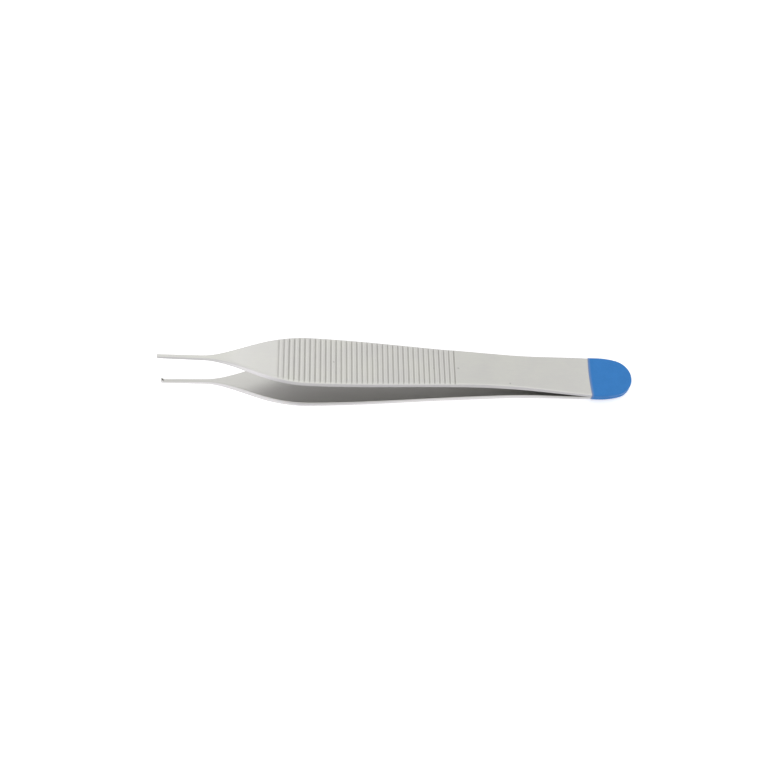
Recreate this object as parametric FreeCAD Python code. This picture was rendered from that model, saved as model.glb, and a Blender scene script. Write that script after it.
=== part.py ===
import FreeCAD, Part
import math
import os
from FreeCAD import Vector

# Thumb forceps of the fine tissue pattern, 12 cm long, with one tooth on the upper arm
# and two on the lower. All sizes are in millimetres. Distances along the forceps are
# counted from the tail end, those named Back are counted back from the tips, and
# heights are counted from the plane in which the two arms meet.
overall = 119.5

# outline seen from above, the same on both arms
tailRound = 8.6
tailHalf = 5.53
endRadius = 5.0
flankAt = 19.5
flankHalf = 5.1
flankSlope = -0.06
waistAt = 31.5
waistHalf = 4.65
gripBack = 37.0
gripHalf = 6.55
taperBack = 24.0
taperHalf = 3.95
taperSlope = -0.375
jawLength = 11.0
jawHalf = 0.45
tipHalf = 0.42

# inner face of an arm seen from the side
weldLength = 10.7
weldSlope = 0.1
springAt = 27.5
springGap = 2.5
springSlope = 0.088
bendAt = 41.5
bendGap = 4.74
bendSlope = 0.058
tipGap = 11.2
tipSlope = 0.041

# outer face of an arm seen from the side
tailThick = 1.12
riseAt = 29.5
riseHeight = 2.95
riseSlope = 0.1
heelAt = 43.0
heelHeight = 4.075
bellyBack = 24.0
bellyHeight = 6.7
crownBack = 19.5
crownHeight = 6.82
rootHeight = 6.46
tipThick = 0.95
outerRound = 0.35
tailBevel = 0.25

# grip ridges, made by grooves across the outer face
grooveCount = 35
groovePitch = 1.2922
grooveBack = 29.52
grooveDepth = 0.34
grooveMouth = 0.4
crestDrop = 0.03
shallowStart = 0.4
shallowStep = 0.2

# teeth at the tips
toothHeight = 0.55
toothLength = 0.75
toothHalf = 0.3
toothPoint = 0.07
toothClear = 0.05

# colour coat on the tail
coatLength = 10.3
coatThick = 0.1
coatBow = 0.25
coatBevel = 0.3

# room by which a cutting shape passes what it cuts
past = 2.0

gripAt = overall - gripBack
taperAt = overall - taperBack
bellyAt = overall - bellyBack
crownAt = overall - crownBack
firstGroove = overall - grooveBack
jawAt = overall - jawLength
heelSlope = (bellyHeight - heelHeight) / (bellyAt - heelAt)
jawSlope = (tipGap / 2 + tipThick - rootHeight) / jawLength
jawTaper = (tipHalf - jawHalf) / jawLength
# radius of the tail's sides, which run into its rounder end
sideRadius = (tailRound ** 2 + tailHalf ** 2 - 2 * tailRound * endRadius) / (2 * (tailHalf - endRadius))

outline = [
    (tailRound, tailHalf, 0.0),
    (flankAt, flankHalf, flankSlope),
    (waistAt, waistHalf, 0.0),
    (gripAt, gripHalf, 0.0),
    (taperAt, taperHalf, taperSlope),
    (jawAt, jawHalf, jawTaper),
    (overall, tipHalf, jawTaper),
]
innerFace = [
    (weldLength, 0.0, weldSlope),
    (springAt, springGap / 2, springSlope),
    (bendAt, bendGap / 2, bendSlope),
    (overall, tipGap / 2, tipSlope),
]
outerFace = [
    (weldLength, tailThick, weldSlope),
    (riseAt, riseHeight, riseSlope),
    (heelAt, heelHeight, heelSlope),
    (bellyAt, bellyHeight, heelSlope),
    (crownAt, crownHeight, 0.0),
    (jawAt, rootHeight, jawSlope),
    (overall, tipGap / 2 + tipThick, jawSlope),
]


def along(distance):
    return overall / 2 - distance


# value of an eased curve at a distance; each station has a distance, a value and a slope
def easedValue(stations, distance):
    for (d0, v0, s0), (d1, v1, s1) in zip(stations, stations[1:]):
        if d0 <= distance <= d1:
            span = d1 - d0
            t = (distance - d0) / span
            start = (1 + 2 * t) * (1 - t) ** 2 * v0 + t * (1 - t) ** 2 * span * s0
            end = t * t * (3 - 2 * t) * v1 + t * t * (t - 1) * span * s1
            return start + end


# the eased curve as edges, straight where both slopes are that of the chord
def easedEdges(stations, place):
    edges = []
    for (d0, v0, s0), (d1, v1, s1) in zip(stations, stations[1:]):
        third = (d1 - d0) / 3
        chord = (v1 - v0) / (d1 - d0)
        first = place(d0, v0)
        last = place(d1, v1)
        if abs(s0 - chord) + abs(s1 - chord) < 1e-9:
            edges.append(Part.LineSegment(first, last).toShape())
            continue
        curve = Part.BezierCurve()
        curve.setPoles([
            first,
            place(d0 + third, v0 + third * s0),
            place(d1 - third, v1 - third * s1),
            last,
        ])
        edges.append(curve.toShape())
    return edges


def inSide(distance, height):
    return Vector(along(distance), 0, height)


def prism(edges, direction):
    return Part.Face(Part.Wire(Part.__sortEdges__(edges))).extrude(direction)


def raised(stations, grow):
    return [(d, v + grow, s) for d, v, s in stations]


# the profile seen from the side, with its outer face and its tail end grown
def sideBlank(grow):
    reach = gripHalf + past
    outer = raised(outerFace, grow)
    bottom = easedEdges(innerFace, inSide)
    top = easedEdges(outer, inSide)
    corners = [
        inSide(weldLength, 0),
        inSide(-grow, 0),
        inSide(-grow, tailThick + grow),
        inSide(weldLength, tailThick + grow),
    ]
    tail = [Part.LineSegment(a, b).toShape() for a, b in zip(corners, corners[1:])]
    tip = Part.LineSegment(
        inSide(overall, innerFace[-1][1]),
        inSide(overall, outer[-1][1]),
    ).toShape()
    blank = prism(bottom + top + tail + [tip], Vector(0, 2 * reach, 0))
    blank.translate(Vector(0, -reach, 0))
    return blank


# the rounded tail end: a small arc at the end and a larger one on each side
def tailEnd(grow, height):
    reach = sideRadius - endRadius
    turn = math.asin((tailRound - endRadius) / reach)
    outer = sideRadius + grow
    inner = endRadius + grow
    join = Vector(along(endRadius - inner * math.sin(turn)), inner * math.cos(turn), height)
    middle = Vector(
        along(tailRound - outer * math.sin(turn / 2)),
        tailHalf - sideRadius + outer * math.cos(turn / 2),
        height,
    )
    side = Vector(along(tailRound), tailHalf + grow, height)
    end = Vector(along(-grow), 0, height)
    over = [Vector(v.x, -v.y, v.z) for v in (side, middle, join)]
    return [
        Part.Arc(side, middle, join).toShape(),
        Part.Arc(join, end, over[2]).toShape(),
        Part.Arc(over[2], over[1], over[0]).toShape(),
    ]


# the outline seen from above, grown all round, standing from one height to another
def planBlank(grow, low, high):
    stations = raised(outline, grow)
    left = easedEdges(stations, lambda d, v: Vector(along(d), v, low))
    right = easedEdges(stations, lambda d, v: Vector(along(d), -v, low))
    end = tailEnd(grow, low)
    half = stations[-1][1]
    tip = Part.LineSegment(
        Vector(along(overall), half, low),
        Vector(along(overall), -half, low),
    ).toShape()
    return prism(left + right + end + [tip], Vector(0, 0, high - low))


def faceHeight(stations, distance, flat):
    if distance <= weldLength:
        return flat
    return easedValue(stations, distance)


# edges round the outline of a piece that lie on one of its two faces
def rimEdges(piece, stations, flat):
    found = []
    for edge in piece.Edges:
        middle = edge.valueAt((edge.FirstParameter + edge.LastParameter) / 2)
        if abs(middle.y) < tipHalf / 2 and middle.x < along(tailRound):
            continue
        if abs(middle.z - faceHeight(stations, along(middle.x), flat)) < 1e-4:
            found.append(edge)
    return found


# the part of the outer face that the grooves take away, with a round ridge between each two
def grooveComb():
    reach = gripHalf + past
    groove = [firstGroove - n * groovePitch for n in range(grooveCount)]
    depth = [grooveDepth * min(1.0, shallowStart + shallowStep * n) for n in range(grooveCount)]
    foot = [inSide(g, easedValue(outerFace, g) - d) for g, d in zip(groove, depth)]
    edges = []
    for n in range(grooveCount - 1):
        middle = (groove[n] + groove[n + 1]) / 2
        crest = inSide(middle, easedValue(outerFace, middle) - crestDrop)
        edges.append(Part.Arc(foot[n], crest, foot[n + 1]).toShape())
    front = firstGroove + grooveMouth
    back = groove[-1] - grooveMouth
    rim = [
        foot[0],
        inSide(front, easedValue(outerFace, front)),
        inSide(front, bellyHeight + past),
        inSide(back, bellyHeight + past),
        inSide(back, easedValue(outerFace, back)),
        foot[-1],
    ]
    edges += [Part.LineSegment(a, b).toShape() for a, b in zip(rim, rim[1:])]
    comb = prism(edges, Vector(0, 2 * reach, 0))
    comb.translate(Vector(0, -reach, 0))
    return comb


# the room that the coat may fill, with its bowed front end
def coatRoom():
    side = tailHalf + past
    low = -past
    front = along(coatLength)
    bow = Part.Arc(
        Vector(front, -side, low),
        Vector(front - coatBow, 0, low),
        Vector(front, side, low),
    ).toShape()
    corners = [
        Vector(front, side, low),
        Vector(along(-past), side, low),
        Vector(along(-past), -side, low),
        Vector(front, -side, low),
    ]
    rim = [Part.LineSegment(a, b).toShape() for a, b in zip(corners, corners[1:])]
    return prism([bow] + rim, Vector(0, 0, 3 * past))


# an arm with no teeth; its long outer edges are rounded, and bevelled under the coat
def armBlank():
    plain = sideBlank(0).common(planBlank(0, -past, bellyHeight + past))
    arm = plain.makeFillet(outerRound, rimEdges(plain, outerFace, tailThick))
    room = coatRoom()
    tail = plain.common(room)
    tail = tail.makeChamfer(tailBevel, rimEdges(tail, outerFace, tailThick))
    arm = arm.cut(room).fuse(tail)
    return arm.cut(grooveComb()).removeSplitter()


# a wedge under the tip with an upright end and a sloping back
def toothBar(half):
    face = tipGap / 2
    points = [
        Vector(along(overall), -half, face + tipThick / 2),
        Vector(along(overall), -half, face - toothHeight),
        Vector(along(overall - toothLength / 3), -half, face - toothHeight),
        Vector(along(overall - toothLength), -half, face - toothClear),
        Vector(along(overall - toothLength), -half, face + tipThick / 2),
    ]
    return Part.Face(Part.makePolygon(points + points[:1])).extrude(Vector(0, 2 * half, 0))


# a wedge along the forceps, narrow at the point of the teeth and wide at their root
def toothWedge(rootHalf, pointHalf, root, point):
    x = along(overall) - past
    points = [
        Vector(x, -rootHalf, root),
        Vector(x, -pointHalf, point),
        Vector(x, pointHalf, point),
        Vector(x, rootHalf, root),
    ]
    return Part.Face(Part.makePolygon(points + points[:1])).extrude(Vector(2 * past, 0, 0))


def singleTooth():
    face = tipGap / 2
    wedge = toothWedge(toothHalf, toothPoint, face, face - toothHeight)
    root = toothWedge(toothHalf, toothHalf, face + tipThick / 2, face)
    return toothBar(tipHalf).common(wedge.fuse(root))


def doubleTooth():
    face = tipGap / 2
    bottom = face - toothHeight - toothClear
    notch = toothWedge(toothPoint, toothHalf, face, bottom)
    return toothBar(tipHalf).cut(notch)


def upperArm():
    return armBlank().fuse(singleTooth())


def lowerArm():
    arm = armBlank().fuse(doubleTooth())
    return arm.mirror(Vector(0, 0, 0), Vector(0, 0, 1))


# the half of the coat on the upper arm
def coatHalf():
    skin = sideBlank(coatThick).common(planBlank(coatThick, -past, bellyHeight + past))
    skin = skin.common(coatRoom())
    outer = raised(outerFace, coatThick)
    return skin.makeChamfer(coatBevel, rimEdges(skin, outer, tailThick + coatThick))


def tailCoat(upper, lower):
    half = coatHalf()
    coat = half.fuse(half.mirror(Vector(0, 0, 0), Vector(0, 0, 1)))
    return coat.cut(upper).cut(lower).removeSplitter()


# lay the forceps on its lower arm, which touches from the heel to the belly
def atRest(pieces):
    tilt = math.degrees(math.atan(heelSlope))
    turned = [piece.rotated(Vector(0, 0, 0), Vector(0, 1, 0), tilt) for piece in pieces]
    box = Part.makeCompound(turned).optimalBoundingBox()
    shift = Vector(-box.Center.x, -box.Center.y, -box.ZMin)
    return [piece.translated(shift) for piece in turned]


upper = upperArm()
lower = lowerArm()
coat = tailCoat(upper, lower)
os.makedirs("parts", exist_ok=True)
for name, piece in zip(["upper_arm", "lower_arm", "tail_coat"], atRest([upper, lower, coat])):
    piece.exportStep("parts/" + name + ".step")
    print(name, piece.ShapeType, len(piece.Solids), piece.isValid(), round(piece.Volume, 2))
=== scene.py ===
import math

import bpy
import bmesh
from mathutils import Euler, Matrix, Vector


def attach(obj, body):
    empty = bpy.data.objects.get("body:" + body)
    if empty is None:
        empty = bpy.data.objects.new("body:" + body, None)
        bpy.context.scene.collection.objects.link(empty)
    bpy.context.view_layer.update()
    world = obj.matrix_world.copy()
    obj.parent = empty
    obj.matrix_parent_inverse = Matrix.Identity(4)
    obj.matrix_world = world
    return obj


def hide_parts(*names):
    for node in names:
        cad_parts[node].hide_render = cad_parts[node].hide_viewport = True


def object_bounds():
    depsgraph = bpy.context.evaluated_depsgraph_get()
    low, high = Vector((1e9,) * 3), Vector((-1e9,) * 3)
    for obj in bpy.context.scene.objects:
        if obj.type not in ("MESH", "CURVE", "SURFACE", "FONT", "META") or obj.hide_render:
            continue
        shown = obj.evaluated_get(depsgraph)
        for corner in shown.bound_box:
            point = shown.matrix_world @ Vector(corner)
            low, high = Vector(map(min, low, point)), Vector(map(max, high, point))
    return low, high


# Thumb forceps, lying open on the lower arm. Sizes and places in the dictionaries are in
# millimetres, angles in degrees, and the scales of textures are counted per metre. Run is the
# distance from the tail end, and height is counted from the plane where the arms meet.
mm = 0.001

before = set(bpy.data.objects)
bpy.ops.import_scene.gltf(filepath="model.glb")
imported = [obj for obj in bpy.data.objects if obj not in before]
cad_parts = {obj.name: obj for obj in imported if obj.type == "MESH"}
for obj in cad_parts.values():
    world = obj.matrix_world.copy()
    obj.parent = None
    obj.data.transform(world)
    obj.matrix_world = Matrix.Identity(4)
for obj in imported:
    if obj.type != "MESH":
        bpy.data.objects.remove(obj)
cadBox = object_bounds()
print("frame loaded:", sorted(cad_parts))


# small helpers for node trees


# an output of a node, so that sums of outputs can be written as in plain code
class Value:
    def __init__(self, maker, socket):
        self.maker = maker
        self.socket = socket

    def __add__(self, other):
        return self.maker.math("ADD", self, other)

    def __radd__(self, other):
        return self.maker.math("ADD", other, self)

    def __sub__(self, other):
        return self.maker.math("SUBTRACT", self, other)

    def __rsub__(self, other):
        return self.maker.math("SUBTRACT", other, self)

    def __mul__(self, other):
        return self.maker.math("MULTIPLY", self, other)

    def __rmul__(self, other):
        return self.maker.math("MULTIPLY", other, self)

    def __truediv__(self, other):
        return self.maker.math("DIVIDE", self, other)

    def __pow__(self, other):
        return self.maker.math("POWER", self, other)

    def __abs__(self):
        return self.maker.math("ABSOLUTE", self)


class Maker:
    def __init__(self, tree):
        self.tree = tree

    def feed(self, socket, value):
        if isinstance(value, Value):
            self.tree.links.new(value.socket, socket)
        elif value is not None:
            socket.default_value = value

    # any node: its settings first, then its sockets by name or number; what comes back is
    # the output that is asked for, or a list of them
    def node(self, kind, settings=None, sockets=None, out=0):
        made = self.tree.nodes.new(kind)
        for name, value in (settings or {}).items():
            if name == "stops":
                setStops(made.color_ramp, value)
            else:
                setattr(made, name, value)
        for name, value in (sockets or {}).items():
            self.feed(made.inputs[name], value)
        if isinstance(out, list):
            return [Value(self, made.outputs[name]) for name in out]
        return Value(self, made.outputs[out])

    # the node that a tree ends in
    def end(self, kind, socket, value):
        self.feed(self.tree.nodes.new(kind).inputs[socket], value)

    def math(self, operation, *values):
        return self.node("ShaderNodeMath", {"operation": operation}, dict(enumerate(values)))

    # x, y and z of a place or direction
    def parts(self, vector):
        return self.node("ShaderNodeSeparateXYZ", None, {0: vector}, out=[0, 1, 2])

    # 0 below low, 1 above high, smooth between
    def ease(self, value, low, high):
        settings = {"interpolation_type": "SMOOTHSTEP"}
        sockets = {"Value": value, "From Min": low, "From Max": high}
        return self.node("ShaderNodeMapRange", settings, sockets)

    # a mix node has its colours at the sockets 6 and 7, and its mixed colour at output 2
    def mixColour(self, factor, first, second):
        settings = {"data_type": "RGBA"}
        return self.node("ShaderNodeMix", settings, {0: factor, 6: first, 7: second}, out=2)

    def noise(self, place, scale, detail, roughness):
        sockets = {"Vector": place, "Scale": scale, "Detail": detail, "Roughness": roughness}
        return self.node("ShaderNodeTexNoise", None, sockets)

    def stretched(self, place, scale):
        return self.node("ShaderNodeMapping", None, {"Vector": place, "Scale": scale})

    def attribute(self, name):
        return self.node("ShaderNodeAttribute", {"attribute_name": name}, out="Fac")

    def bump(self, height, depth, under=None):
        sockets = {"Height": height, "Distance": depth * mm, "Strength": 1.0, "Normal": under}
        return self.node("ShaderNodeBump", None, sockets)


def setStops(ramp, stops):
    while len(ramp.elements) < len(stops):
        ramp.elements.new(1.0)
    for element, (place, colour) in zip(ramp.elements, stops):
        element.position = place
        element.color = colour


def grey(value):
    return (value, value, value, 1.0)


# shape of one arm

forceps = {
    "length": 119.5,
    "tailRound": 8.6,
    "tailHalf": 5.53,
    "endRadius": 5.0,
    "tipHalf": 0.42,
    "weldLength": 10.7,
    "tailThick": 1.12,
    "heelAt": 43.0,
    "heelHeight": 4.075,
    "heelSlope": 0.05,  # slope of the belly that the forceps lies on
    "jawAt": 108.5,
    "tipOuter": 6.55,  # height of the outer face at the tips
    "outerRound": 0.35,
    "innerRound": 0.2,
    "tipRound": 0.05,
    "outerShare": 0.8,  # the outer rounding takes at most this share of the half width
    "innerShare": 0.4,
    # the outer edges roll over further along the ridges: share of the wide roll
    "rollShare": [(45.0, 0.0, 0.0), (49.0, 1.0, 0.0), (86.0, 1.0, 0.0), (93.0, 0.0, 0.0)],
    "rollWide": 1.1,
    "rollHigh": 0.42,
    "insideShadeReach": 0.6,  # the painted shade on the inner face fades out over this height
    "tailSections": 16,
    "plainStep": 0.45,  # spacing of the sections on plain stretches
    "facePoints": 22,
    "roundPoints": 7,
    "sideSteps": 3,
    "innerPoints": 21,
}

# the three curves of an arm as stations: run, value, slope
forceps["outline"] = [
    (forceps["tailRound"], forceps["tailHalf"], 0.0),
    (19.5, 5.1, -0.06),
    (31.5, 4.65, 0.0),
    (82.5, 6.55, 0.0),
    (95.5, 3.95, -0.375),
    (forceps["jawAt"], 0.45, -0.0027),
    (forceps["length"], forceps["tipHalf"], -0.0027),
]
forceps["innerFace"] = [
    (forceps["weldLength"], 0.0, 0.1),
    (27.5, 1.25, 0.088),
    (41.5, 2.37, 0.058),
    (forceps["length"], 5.6, 0.041),
]
forceps["outerFace"] = [
    (forceps["weldLength"], forceps["tailThick"], 0.1),
    (29.5, 2.95, 0.1),
    (forceps["heelAt"], forceps["heelHeight"], forceps["heelSlope"]),
    (95.5, 6.7, forceps["heelSlope"]),
    (100.0, 6.82, 0.0),
    (forceps["jawAt"], 6.46, 0.00818),
    (forceps["length"], forceps["tipOuter"], 0.00818),
]

teeth = {
    "length": 0.75,
    "height": 0.55,
    "half": 0.3,
    "point": 0.05,
    "notch": 0.3,  # depth of the notch between the two teeth, below the inner face
    "notchHalf": 0.24,
    "steep": 1.5,  # how fast the teeth rise to their full height
    "edgeRound": 0.04,
    "sideCut": 0.26,  # the single tooth's jaw is cut back on both sides
    "sideFrom": 0.22,
}

ridges = {
    "count": 35,
    "pitch": 1.2922,
    "firstGroove": 89.98,
    "depth": 0.34,
    "crestDrop": 0.03,
    # the first grooves are shallower: share of the depth, and what each one adds
    "shallowStart": 0.6,
    "shallowStep": 0.2,
    "mouth": 0.4,  # the outermost grooves open over this length
    "sharp": 4.2,  # a higher power makes the grooves narrower
    "soft": 0.05,  # how softly the ridges run into the rounded edges
    "sectionsEach": 14,
}


# value of an eased curve; each station has a run, a value and a slope
def eased(stations, run):
    for (d0, v0, s0), (d1, v1, s1) in zip(stations, stations[1:]):
        if run <= d1 or d1 == stations[-1][0]:
            span = d1 - d0
            t = (run - d0) / span
            start = (1 + 2 * t) * (1 - t) ** 2 * v0 + t * (1 - t) ** 2 * span * s0
            end = t * t * (3 - 2 * t) * v1 + t * t * (t - 1) * span * s1
            return start + end


def between(value):
    return min(1.0, max(0.0, value))


# the tail end as seen from above has a small arc at the end and a larger one on each side;
# this gives the larger radius and the angle at which the two arcs join
def tailArcs():
    long, half, end = forceps["tailRound"], forceps["tailHalf"], forceps["endRadius"]
    side = (long ** 2 + half ** 2 - 2 * long * end) / (2 * (half - end))
    turn = math.asin((long - end) / (side - end))
    return side, turn


def halfWidth(run):
    long, half, end = forceps["tailRound"], forceps["tailHalf"], forceps["endRadius"]
    side, turn = tailArcs()
    if run >= long:
        return eased(forceps["outline"], run)
    if run >= end - end * math.sin(turn):
        return half - side + math.sqrt(side ** 2 - (long - run) ** 2)
    return math.sqrt(max(0.0, end ** 2 - (end - run) ** 2))


def innerHeight(run):
    return 0.0 if run <= forceps["weldLength"] else eased(forceps["innerFace"], run)


def outerHeight(run):
    if run <= forceps["weldLength"]:
        return forceps["tailThick"]
    return eased(forceps["outerFace"], run)


def evenly(start, stop, step):
    count = max(1, round((stop - start) / step))
    return [start + (stop - start) * n / count for n in range(count)]


# where the sections of an arm stand, closest at the ridges and the tip
def sectionRuns():
    long, count = forceps["tailRound"], forceps["tailSections"]
    runs = [long * (1 - math.cos(math.pi / 2 * n / count)) for n in range(1, count)]
    step = ridges["pitch"] / ridges["sectionsEach"]
    grooves = [ridges["firstGroove"] - n * ridges["pitch"] for n in range(ridges["count"])]
    front = grooves[0] + ridges["mouth"]
    back = grooves[-1] - ridges["mouth"]
    teethAt = forceps["length"] - 2 * teeth["length"]
    roundAt = forceps["length"] - forceps["tipRound"]
    runs += evenly(long, back, forceps["plainStep"])
    runs += evenly(back, front, step)
    runs += evenly(front, teethAt, forceps["plainStep"])
    runs += evenly(teethAt, roundAt, forceps["tipRound"])
    # a section on every groove, with none close beside it, keeps the groove's bottom sharp
    runs = [run for run in runs if min(abs(run - groove) for groove in grooves) > step / 3]
    return sorted(runs + grooves) + [roundAt, forceps["length"]]


# how far the teeth stand out of the inner face, below zero where the jaw is cut back
def toothRise(run, across, double):
    behind = (forceps["length"] - run) / teeth["length"]
    if behind >= 1:
        return 0.0
    rise = min(1.0, (1 - behind) * teeth["steep"])
    if double:
        wall = between((abs(across) - teeth["point"]) / (teeth["notchHalf"] - teeth["point"]))
        return rise * ((teeth["height"] + teeth["notch"]) * wall - teeth["notch"])
    share = between((abs(across) - teeth["point"]) / (teeth["half"] - teeth["point"]))
    cut = between((abs(across) - teeth["sideFrom"]) / (forceps["tipHalf"] - teeth["sideFrom"]))
    return rise * (teeth["height"] * (1 - share) - teeth["sideCut"] * cut)


# width and height of the rounding along the outer edges
def outerRounding(run, half):
    stations = forceps["rollShare"]
    share = eased(stations, min(max(run, stations[0][0]), stations[-1][0]))
    plain, most = forceps["outerRound"], forceps["outerShare"] * half
    wide = min(plain + (forceps["rollWide"] - plain) * share, most)
    high = min(plain + (forceps["rollHigh"] - plain) * share, most)
    return wide, high


# how much wider a rounding is, measured across, where the outline runs at a slant
def slant(run):
    if run <= forceps["tailRound"]:
        return 1.0
    small = 1e-3
    return math.sqrt(1 + ((halfWidth(run + small) - halfWidth(run)) / small) ** 2)


# one closed section: points as (across, height), starting on the outer face
def section(run, double):
    half, inner, outer = halfWidth(run), innerHeight(run), outerHeight(run)
    if run >= forceps["length"]:
        half -= forceps["tipRound"]
        inner += forceps["tipRound"]
        outer -= forceps["tipRound"]
    lean = slant(run)
    wide, high = outerRounding(run, half)
    wide *= lean
    among = forceps["length"] - run < teeth["length"]
    roundIn = teeth["edgeRound"] if among else min(forceps["innerRound"], forceps["innerShare"] * half)
    count = forceps["roundPoints"]
    turns = [math.pi / 2 * n / count for n in range(count + 1)]
    right = [(half - wide * (1 - math.sin(t)), outer - high * (1 - math.cos(t))) for t in turns]
    arc = [(half - roundIn * lean * (1 - math.cos(t)), inner + roundIn * (1 - math.sin(t))) for t in turns]
    arc = [(across, height - toothRise(run, across, double)) for across, height in arc]
    low, top = arc[0][1], outer - high
    sides = forceps["sideSteps"]
    right += [(half, top + (low - top) * n / sides) for n in range(1, sides)] + arc
    edge, faces = half - wide, forceps["facePoints"]
    face = [(-edge + 2 * edge * n / faces, outer) for n in range(1, faces)]
    inside, under = half - roundIn * lean, forceps["innerPoints"]
    places = [inside - 2 * inside * n / under for n in range(1, under)]
    bottom = [(across, inner - toothRise(run, across, double)) for across in places]
    left = [(-across, height) for across, height in reversed(right)]
    return face + right + bottom + left


def along(run):
    return (forceps["length"] / 2 - run) * mm


# the plain arm, lying along X in the plane where the arms meet, with no ridges yet
def plainArm(name, double):
    runs = sectionRuns()
    rings = [section(run, double) for run in runs]
    size = len(rings[0])
    points = [
        (along(run), across * mm, height * mm)
        for run, ring in zip(runs, rings)
        for across, height in ring
    ]
    faces = []
    for n in range(len(runs) - 1):
        for k in range(size):
            nextK = (k + 1) % size
            faces.append((n * size + k, n * size + nextK, (n + 1) * size + nextK, (n + 1) * size + k))
    faces.append(tuple(range(size)))
    faces.append(tuple(reversed(range(len(points) - size, len(points)))))
    piece = newPiece(name, points, faces)
    for endFace in piece.data.polygons[-2:]:
        endFace.use_smooth = False
    addValues(piece, "run", [run * mm for run in runs for _ in range(size)])
    addValues(piece, "face", [outerHeight(run) * mm for run in runs for _ in range(size)])
    depths = [height - innerHeight(run) for run, ring in zip(runs, rings) for _, height in ring]
    reach = forceps["insideShadeReach"]
    # share of painted shade for each point: full on the inner face, where the arms shade each other
    addValues(piece, "inside", [between(1 - max(0.0, depth) / reach) for depth in depths])
    return piece


def newPiece(name, points, faces):
    data = bpy.data.meshes.new(name)
    data.from_pydata(points, [], faces)
    data.polygons.foreach_set("use_smooth", [True] * len(faces))
    piece = bpy.data.objects.new(name, data)
    bpy.context.scene.collection.objects.link(piece)
    pointOutwards(piece)
    return piece


def pointOutwards(piece):
    work = bmesh.new()
    work.from_mesh(piece.data)
    bmesh.ops.recalc_face_normals(work, faces=work.faces)
    work.to_mesh(piece.data)
    work.free()
    piece.data.update()


# one number for each point of a piece, for its node trees
def addValues(piece, label, values):
    layer = piece.data.attributes.new(label, "FLOAT", "POINT")
    layer.data.foreach_set("value", values)


# replaces the mesh of a piece by what its modifier makes of it
def applyModifier(piece, modifier):
    graph = bpy.context.evaluated_depsgraph_get()
    data = bpy.data.meshes.new_from_object(piece.evaluated_get(graph))
    old = piece.data
    piece.modifiers.remove(modifier)
    piece.data = data
    bpy.data.meshes.remove(old)
    data.name = piece.name


# presses the grip grooves into the outer face of an arm
def ridgeTree(material):
    tree = bpy.data.node_groups.new("gripRidges", "GeometryNodeTree")
    names = ["count", "pitch", "firstGroove", "depth", "crestDrop", "shallowStart", "shallowStep",
             "mouth", "sharp", "soft"]
    tree.interface.new_socket("Geometry", in_out="INPUT", socket_type="NodeSocketGeometry")
    for name in names:
        tree.interface.new_socket(name, in_out="INPUT", socket_type="NodeSocketFloat")
    tree.interface.new_socket("Geometry", in_out="OUTPUT", socket_type="NodeSocketGeometry")
    make = Maker(tree)
    given = make.node("NodeGroupInput", out=["Geometry"] + names)
    mesh, count, pitch, first, depth, crest, start, step, mouth, sharp, soft = given
    run, face = [
        make.node("GeometryNodeInputNamedAttribute", {"data_type": "FLOAT"}, {"Name": label})
        for label in ("run", "face")
    ]
    place = (first - run) / pitch
    nearest = make.math("MINIMUM", make.math("MAXIMUM", make.math("ROUND", place), 0.0), count - 1)
    away = abs(place - nearest)
    full = depth * make.math("MINIMUM", start + step * nearest, 1.0)
    ridge = crest + (full - crest) * make.math("MAXIMUM", 1 - 2 * away, 0.0) ** sharp
    lip = make.math("MAXIMUM", 1 - away * pitch / mouth, 0.0)
    outside = full * lip * lip - soft * (1 - lip)
    among = make.math("GREATER_THAN", place, 0.0) * make.math("LESS_THAN", place, count - 1)
    pressed = face - (ridge * among + outside * (1 - among))
    x, y, z = make.parts(make.node("GeometryNodeInputPosition"))
    height = make.math("SMOOTH_MIN", z, pressed, soft)
    moved = make.node("ShaderNodeCombineXYZ", None, {0: x, 1: y, 2: height})
    shape = make.node("GeometryNodeSetPosition", None, {"Geometry": mesh, "Position": moved})
    painted = make.node("GeometryNodeSetMaterial", None, {"Geometry": shape, "Material": material})
    make.end("NodeGroupOutput", "Geometry", painted)
    return tree


# runs a node tree on a piece, keeps its result and takes off the measures that it read
def bakeTree(piece, tree, values):
    modifier = piece.modifiers.new("shape", "NODES")
    modifier.node_group = tree
    for item in tree.interface.items_tree:
        if item.in_out == "INPUT" and item.name in values:
            modifier[item.identifier] = float(values[item.name])
    applyModifier(piece, modifier)
    for label in ("run", "face"):
        layer = piece.data.attributes.get(label)
        piece.data.attributes.remove(layer)


# from the plane where the arms meet to the way that the forceps lies
def lyingMatrix():
    slope = forceps["heelSlope"]
    tilt = math.atan(slope)
    half = forceps["length"] / 2
    lift = half * math.sin(tilt) + (forceps["heelHeight"] - slope * forceps["heelAt"]) * math.cos(tilt)
    reach = half * math.cos(tilt) + forceps["tipOuter"] * math.sin(tilt)
    shift = Vector((cadBox[0].x + reach * mm, 0, lift * mm))
    return Matrix.Translation(shift) @ Matrix.Rotation(tilt, 4, "Y")


def layDown(piece, mirrored=False):
    if mirrored:
        piece.data.transform(Matrix.Diagonal((1, 1, -1, 1)))
    piece.data.transform(lyingMatrix())
    pointOutwards(piece)


# the lower arm is the same blade turned over, with two teeth
def makeArm(name, node, material, lower):
    piece = plainArm(name, double=lower)
    lengths = ("pitch", "firstGroove", "depth", "crestDrop", "mouth", "soft")
    values = {key: ridges[key] * (mm if key in lengths else 1) for key in ridges}
    bakeTree(piece, ridgeTree(material), values)
    layDown(piece, mirrored=lower)
    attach(piece, "root")
    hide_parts(node)
    print(name, "made:", len(piece.data.polygons), "faces")


# the blue coat over both tails

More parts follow.
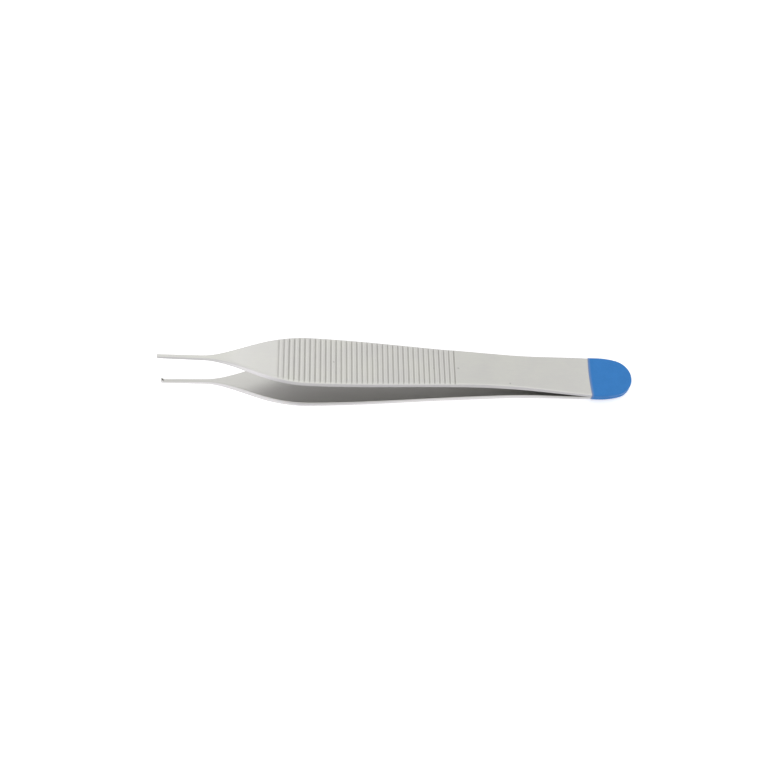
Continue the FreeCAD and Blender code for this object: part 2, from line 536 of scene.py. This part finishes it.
coat = {
    "length": 10.6,
    "thick": 0.1,
    "shell": 0.09,  # thickness of the visible layer, inwards from its outer face
    "bow": 0.45,
    "bowReach": 7.7,
    "edgeRound": 0.45,
    "seamDepth": 0.13,
    "seamHalf": 0.15,
    "lip": 0.14,  # the last bit of the front edge, which rounds down on to the steel
    "lipMiddle": 0.4,  # where the row of points within the lip lies
    "lipDrop": 0.6,  # share of the thickness by which the lip rounds down
    "paleRim": 0.3,  # the front edge is thin and pale over this length
    "rimPoints": 26,
    "frontSteps": 4,
    "turnSteps": 8,
    "sideSteps": 3,
    "acrossPoints": 16,
}


def coatTop():
    return forceps["tailThick"] + coat["thick"]


# the coat's section from the top over the side to the bottom: how far each point stands out
# from the arm's outline, and its height
def coatProfile():
    grow, radius, seam = coat["thick"], coat["edgeRound"], coat["seamHalf"]
    top, count, steps = coatTop(), coat["turnSteps"], coat["sideSteps"]
    turns = [math.pi / 2 * n / count for n in range(count + 1)]
    profile = [(grow - radius * (1 - math.sin(t)), top - radius * (1 - math.cos(t))) for t in turns]
    profile += [(grow, seam + (top - radius - seam) * (steps - n) / steps) for n in range(1, steps)]
    profile += [(grow, seam), (grow - coat["seamDepth"], 0.0)]
    return profile + [(out, -height) for out, height in reversed(profile[:-1])]


# points of the grown outline on one side, from the front edge to the tail end
def tailRim(grow):
    long, half, end = forceps["tailRound"], forceps["tailHalf"], forceps["endRadius"]
    side, turn = tailArcs()
    lip, steps, count = coat["lip"], coat["frontSteps"], coat["rimPoints"]
    behind = [0.0, lip * coat["lipMiddle"], lip]
    behind += [lip + (coat["length"] - long - lip) * n / steps for n in range(1, steps)]
    runs = [coat["length"] - back for back in behind]
    rim = [(run, halfWidth(run) + grow) for run in runs]
    for n in range(count):
        angle = turn * n / count
        rim.append((long - (side + grow) * math.sin(angle), half - side + (side + grow) * math.cos(angle)))
    for n in range(count + 1):
        angle = turn + (math.pi / 2 - turn) * n / count
        rim.append((end - (end + grow) * math.sin(angle), (end + grow) * math.cos(angle)))
    return rim


# the front edge bows towards the tips in the middle
def bowed(run, across):
    near = max(0.0, (run - forceps["tailRound"]) / (coat["length"] - forceps["tailRound"]))
    return run + coat["bow"] * (1 - (across / coat["bowReach"]) ** 2) * near


# how far a point of the coat lies behind the front edge
def frontGap(point):
    run = forceps["length"] / 2 - point[0] / mm
    return bowed(coat["length"], point[1] / mm) - run


# adds a point of the coat, lowered where it belongs to the lip, and gives its number
def addPoint(points, run, across, height):
    tiny = 1e-6
    back = coat["length"] - run
    drop = max(0.0, 1 - back / coat["lip"]) ** 2 * coat["thick"] * coat["lipDrop"]
    onTop = abs(height) > coatTop() - coat["edgeRound"] - tiny
    onSide = abs(across) > halfWidth(run) - coat["edgeRound"]
    low = height - math.copysign(drop, height) * onTop
    side = across - math.copysign(drop, across) * onSide
    points.append((along(bowed(run, across)), side * mm, low * mm))
    return len(points) - 1


# the side wall, with one row of points for each point of the section
def coatWall(points, profile, rims):
    rows = []
    for (_, height), rim in zip(profile, rims):
        whole = rim + [(run, -across) for run, across in reversed(rim[:-1])]
        rows.append([addPoint(points, run, across, height) for run, across in whole])
    faces = []
    for upper, lower in zip(rows, rows[1:]):
        for k in range(len(upper) - 1):
            faces.append((upper[k], upper[k + 1], lower[k + 1], lower[k]))
    return rows, faces


# a flat face, filled straight across from one side of a row to the other
def coatFlat(points, row, rim, height):
    steps = coat["acrossPoints"]
    lines = []
    for k, (run, _) in enumerate(rim[:-1]):
        left, right = points[row[k]][1], points[row[-1 - k]][1]
        places = [(left + (right - left) * n / steps) / mm for n in range(1, steps)]
        middle = [addPoint(points, run, across, height) for across in places]
        lines.append([row[k]] + middle + [row[-1 - k]])
    faces = []
    for first, second in zip(lines, lines[1:]):
        faces += [(first[n], first[n + 1], second[n + 1], second[n]) for n in range(steps)]
    last, end = lines[-1], row[len(rim) - 1]
    return faces + [(last[n], last[n + 1], end) for n in range(steps)]


def makeCoat(material):
    profile = coatProfile()
    rims = [tailRim(grow) for grow, _ in profile]
    points = []
    rows, faces = coatWall(points, profile, rims)
    faces += coatFlat(points, rows[0], rims[0], coatTop())
    faces += coatFlat(points, rows[-1], rims[-1], -coatTop())
    piece = newPiece("tailCoat", points, faces)
    addValues(piece, "rim", [between(1 - frontGap(point) / coat["paleRim"]) for point in points])
    shell = piece.modifiers.new("shell", "SOLIDIFY")
    shell.thickness = coat["shell"] * mm
    shell.offset = -1
    shell.use_even_offset = True
    applyModifier(piece, shell)
    piece.data.materials.append(material)
    layDown(piece)
    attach(piece, "root")
    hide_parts("tail_coat")
    print("coat made:", len(piece.data.polygons), "faces")


# finishes; a noise has a scale, a detail and a roughness, and varies about its middle

noiseMiddle = 0.5

steelLook = {
    "colour": (0.612, 0.611, 0.586, 1.0),
    "cloudColour": (0.586, 0.580, 0.572, 1.0),
    # painted shade: a darker colour for the inner faces, standing in for the shade between the arms
    "insideShadeColour": (0.538, 0.533, 0.52, 1.0),
    "speckColour": (0.30, 0.30, 0.29, 1.0),
    "clouds": (120.0, 3.0, 0.55),
    "streaks": (1.0, 2.0, 0.6),
    "streakStretch": (300.0, 2600.0, 2600.0),
    "grain": (9000.0, 2.0, 0.6),
    "spots": (650.0, 1.0, 0.5),
    "speckEdge": (0.77, 0.82),  # the highest spots of the noise are specks
    "toneEdge": (0.35, 0.65),
    "cloudShare": 0.7,
    "streakShare": 0.3,
    "speckShare": 0.5,
    "roughness": 0.34,
    "grainRough": 0.06,
    "cloudRough": 0.05,
    "speckRough": 0.1,
    "grainDepth": 0.0026,
    "waveDepth": 0.03,
}

coatLook = {
    "colour": (0.0235, 0.214, 0.605, 1.0),
    "deepColour": (0.019, 0.198, 0.567, 1.0),
    "rimColour": (0.30, 0.34, 0.50, 1.0),
    "clouds": (300.0, 2.0, 0.5),
    "peel": (2600.0, 2.0, 0.5),
    "toneEdge": (0.35, 0.65),
    "cloudShare": 0.6,
    "peelShare": 0.4,
    "roughness": 0.45,
    "peelRough": 0.08,
    "specular": 0.4,
    "peelDepth": 0.006,
}


def newMaterial(name):
    material = bpy.data.materials.new(name)
    material.use_nodes = True
    material.node_tree.nodes.clear()
    return material, Maker(material.node_tree)


# satin, finely blasted steel
def makeSteel():
    look = steelLook
    material, make = newMaterial("satinSteel")
    place = make.node("ShaderNodeTexCoord", out="Object")
    cloud = make.noise(place, *look["clouds"])
    streak = make.noise(make.stretched(place, look["streakStretch"]), *look["streaks"])
    grain = make.noise(place, *look["grain"])
    speck = make.ease(make.noise(place, *look["spots"]), *look["speckEdge"])
    share = make.ease(cloud * look["cloudShare"] + streak * look["streakShare"], *look["toneEdge"])
    tone = make.mixColour(share, look["cloudColour"], look["colour"])
    # painted shade on the inner faces, where the arms shade each other
    insideShaded = make.mixColour(make.attribute("inside"), tone, look["insideShadeColour"])
    colour = make.mixColour(speck * look["speckShare"], insideShaded, look["speckColour"])
    rough = look["roughness"] + look["grainRough"] * (grain - noiseMiddle)
    rough = rough + look["cloudRough"] * (cloud - noiseMiddle) + look["speckRough"] * speck
    wave = make.bump(cloud, look["waveDepth"])
    shader = make.node("ShaderNodeBsdfPrincipled", None, {
        "Base Color": colour,
        "Metallic": 1.0,
        "Roughness": rough,
        "Normal": make.bump(grain, look["grainDepth"], wave),
    })
    make.end("ShaderNodeOutputMaterial", "Surface", shader)
    return material


# satin cured coating
def makeBlue():
    look = coatLook
    material, make = newMaterial("blueCoat")
    place = make.node("ShaderNodeTexCoord", out="Object")
    cloud = make.noise(place, *look["clouds"])
    peel = make.noise(place, *look["peel"])
    share = make.ease(cloud * look["cloudShare"] + peel * look["peelShare"], *look["toneEdge"])
    tone = make.mixColour(share, look["deepColour"], look["colour"])
    shader = make.node("ShaderNodeBsdfPrincipled", None, {
        "Base Color": make.mixColour(make.attribute("rim"), tone, look["rimColour"]),
        "Roughness": look["roughness"] + look["peelRough"] * (peel - noiseMiddle),
        "Specular IOR Level": look["specular"],
        "Normal": make.bump(peel, look["peelDepth"]),
    })
    make.end("ShaderNodeOutputMaterial", "Surface", shader)
    return material


# studio: pale floor, white surroundings, one soft lamp and the camera

studio = {
    "floorHalf": 2500.0,
    "floorPlain": grey(0.82),  # for the light that the floor throws back
    "floorSeen": grey(0.9),
    "floorLift": 0.52,  # light that the floor gives where it is seen or mirrored
    # colour of that light as the steel mirrors it: shaded, but bright in a band under the
    # tapers and in a strip along the near side
    "floorShade": (0.34, 0.32, 0.39, 1.0),
    "floorBright": (1.25, 1.21, 1.31, 1.0),
    "bandBegins": (-51.0, -45.0),
    "bandEnds": (-41.0, -31.0),
    "stripBegins": (-0.6, 0.6),
    "stripEnds": (0.0, 4.0),
    # how far the strip reaches forward, as shares of its full reach from the tips to the tail
    "stripLength": 120.0,
    "fullReach": 10.0,
    "stripReach": [(0.08, grey(0.35)), (0.2, grey(0.72)), (0.46, grey(0.72)), (0.88, grey(0.65))],
    # the sky as the steel mirrors it. Right runs from -1 at the tips' side to 1 at the tail's
    # side, and back from -1 at the near side to 1 at the far side. Each pair says where a
    # share of the light begins or ends.
    "skyTint": (1.0, 1.0, 0.975, 1.0),
    "sky": 0.83,
    "skyMost": 1.2,
    "skyMiddle": 0.18,
    "middleEnds": (0.12, 0.38),
    "skyRight": 0.38,
    "rightBegins": (0.33, 0.62),
    "skyLeft": -0.22,
    "leftBegins": (0.1, 0.6),
    "leftBack": (-0.3, 0.4),
    "skyFront": 0.22,
    "frontEnds": (-0.1, 0.42),
    "skyBack": 0.15,
    "backBegins": (0.62, 0.85),
    "skyDiffuse": 0.85,  # the sky for light that isn't mirrored
    "cameraPlace": (-13.3634, -148.524, 254.324),
    "cameraTurn": (30.3086, -1.5791, -1.1320),
    "nearest": 10.0,
    "lens": 53.9,
    "lampPlace": (-40.0, 260.0, 420.0),
    "lampSize": 160.0,
    "lampWatts": 0.04,
}


# the first is 1 for rays from the camera, the second for rays that the pieces mirrored
def rayKinds(make):
    return make.node("ShaderNodeLightPath", out=["Is Camera Ray", "Is Glossy Ray"])


def inMetres(pair):
    return [value * mm for value in pair]


# colour of the floor's own light as the steel mirrors it
def mirroredFloor(make):
    x, y, _ = make.parts(make.node("ShaderNodeTexCoord", out="Object"))
    share = x / (studio["stripLength"] * mm) + 0.5
    ramp = make.node("ShaderNodeValToRGB", {"stops": studio["stripReach"]}, {"Fac": share})
    reach = studio["fullReach"] * mm * ramp
    band = make.ease(x, *inMetres(studio["bandBegins"])) * (1 - make.ease(x, *inMetres(studio["bandEnds"])))
    near = make.ease(y + reach, *inMetres(studio["stripBegins"]))
    strip = near * (1 - make.ease(y, *inMetres(studio["stripEnds"])))
    return make.mixColour(make.math("MAXIMUM", band, strip), studio["floorShade"], studio["floorBright"])


def makeFloor():
    half = studio["floorHalf"] * mm
    points = [(-half, -half, 0), (half, -half, 0), (half, half, 0), (-half, half, 0)]
    data = bpy.data.meshes.new("floor")
    data.from_pydata(points, [], [(0, 1, 2, 3)])
    floor = bpy.data.objects.new("floor", data)
    bpy.context.scene.collection.objects.link(floor)
    material, make = newMaterial("paleFloor")
    camera, mirrored = rayKinds(make)
    plain = make.node("ShaderNodeBsdfDiffuse", None, {"Color": studio["floorPlain"]})
    white = make.node("ShaderNodeBsdfDiffuse", None, {"Color": studio["floorSeen"]})
    tint = make.mixColour(mirrored, grey(1.0), mirroredFloor(make))
    lift = make.node("ShaderNodeEmission", None, {"Color": tint, "Strength": studio["floorLift"]})
    bright = make.node("ShaderNodeAddShader", None, {0: white, 1: lift})
    shader = make.node("ShaderNodeMixShader", None, {0: camera + mirrored, 1: plain, 2: bright})
    make.end("ShaderNodeOutputMaterial", "Surface", shader)
    data.materials.append(material)


# strength of the sky's light as the steel mirrors it
def mirroredSky(make):
    right, back, _ = make.parts(make.node("ShaderNodeTexCoord", out="Generated"))
    atLeft = make.ease(-1 * right, *studio["leftBegins"]) * make.ease(back, *studio["leftBack"])
    atRight = make.ease(right, *studio["rightBegins"])
    atMiddle = 1 - make.ease(right, *studio["middleEnds"])
    atFront = 1 - make.ease(back, *studio["frontEnds"])
    atBack = make.ease(back, *studio["backBegins"])
    sides = studio["skyRight"] * atRight + studio["skyLeft"] * atLeft
    whole = studio["sky"] + sides + studio["skyMiddle"] * atMiddle
    whole = whole + studio["skyFront"] * atFront + studio["skyBack"] * atBack
    return make.math("MINIMUM", whole, studio["skyMost"])


def makeWorld():
    world = bpy.data.worlds.new("studio")
    bpy.context.scene.world = world
    world.use_nodes = True
    world.node_tree.nodes.clear()
    make = Maker(world.node_tree)
    camera, mirrored = rayKinds(make)
    fromPieces = mirrored * mirroredSky(make) + (1 - mirrored) * studio["skyDiffuse"]
    level = camera + (1 - camera) * fromPieces
    tint = make.mixColour(mirrored, grey(1.0), studio["skyTint"])
    shader = make.node("ShaderNodeBackground", None, {"Color": tint, "Strength": level})
    make.end("ShaderNodeOutputWorld", "Surface", shader)


# one soft lamp, aimed at the middle of the forceps
def makeLamp():
    lamp = bpy.data.lights.new("overhead", "AREA")
    lamp.size = studio["lampSize"] * mm
    lamp.energy = studio["lampWatts"]
    place = Vector(studio["lampPlace"])
    holder = bpy.data.objects.new("overhead", lamp)
    holder.location = place * mm
    holder.rotation_euler = (-place).to_track_quat("-Z", "Y").to_euler()
    bpy.context.scene.collection.objects.link(holder)


def makeCamera():
    data = bpy.data.cameras.new("camera")
    data.lens = studio["lens"]
    data.clip_start = studio["nearest"] * mm
    camera = bpy.data.objects.new("camera", data)
    camera.location = Vector(studio["cameraPlace"]) * mm
    camera.rotation_euler = Euler([math.radians(angle) for angle in studio["cameraTurn"]])
    bpy.context.scene.collection.objects.link(camera)
    bpy.context.scene.camera = camera


bpy.context.scene.view_settings.view_transform = "Standard"
makeCamera()
makeFloor()
makeWorld()
makeLamp()
print("studio ready")

steel = makeSteel()
makeArm("upperArm", "upper_arm", steel, lower=False)
makeArm("lowerArm", "lower_arm", steel, lower=True)
makeCoat(makeBlue())
